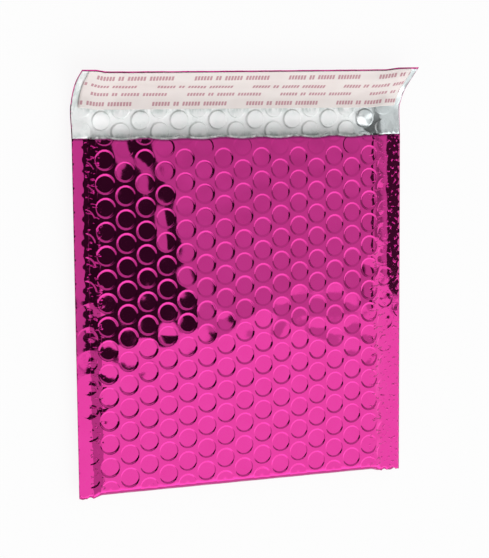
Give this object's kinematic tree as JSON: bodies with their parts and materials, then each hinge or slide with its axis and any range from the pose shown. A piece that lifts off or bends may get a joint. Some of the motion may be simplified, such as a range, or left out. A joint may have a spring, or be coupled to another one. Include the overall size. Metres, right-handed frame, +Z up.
{
  "type": "padded envelope",
  "caption": "Open padded mailing envelope in mirror-bright magenta film, lined with bubble film, with its flap standing up and a release liner across it.",
  "frame": {"origin": "middle of the outline, on the surface that the envelope's back lies on", "axes": "+Z up, out of the front panel; +Y from the folded bottom to the mouth and the flap; +X to the right as the front is seen"},
  "size_m": [0.18, 0.2162, 0.0137],
  "materials": {
    "magenta_foil": "mirror-bright magenta metallised film",
    "silver_bubble_film": "pale silver bubble film",
    "hot_melt": "tacky hot-melt strip, covered",
    "liner_paper": "smooth off-white release paper"
  },
  "bodies": {
    "root": {"outer_film": "magenta_foil", "bubble_lining": "silver_bubble_film", "adhesive_strip": "hot_melt", "release_liner": "liner_paper"}
  },
  "joints": []
}
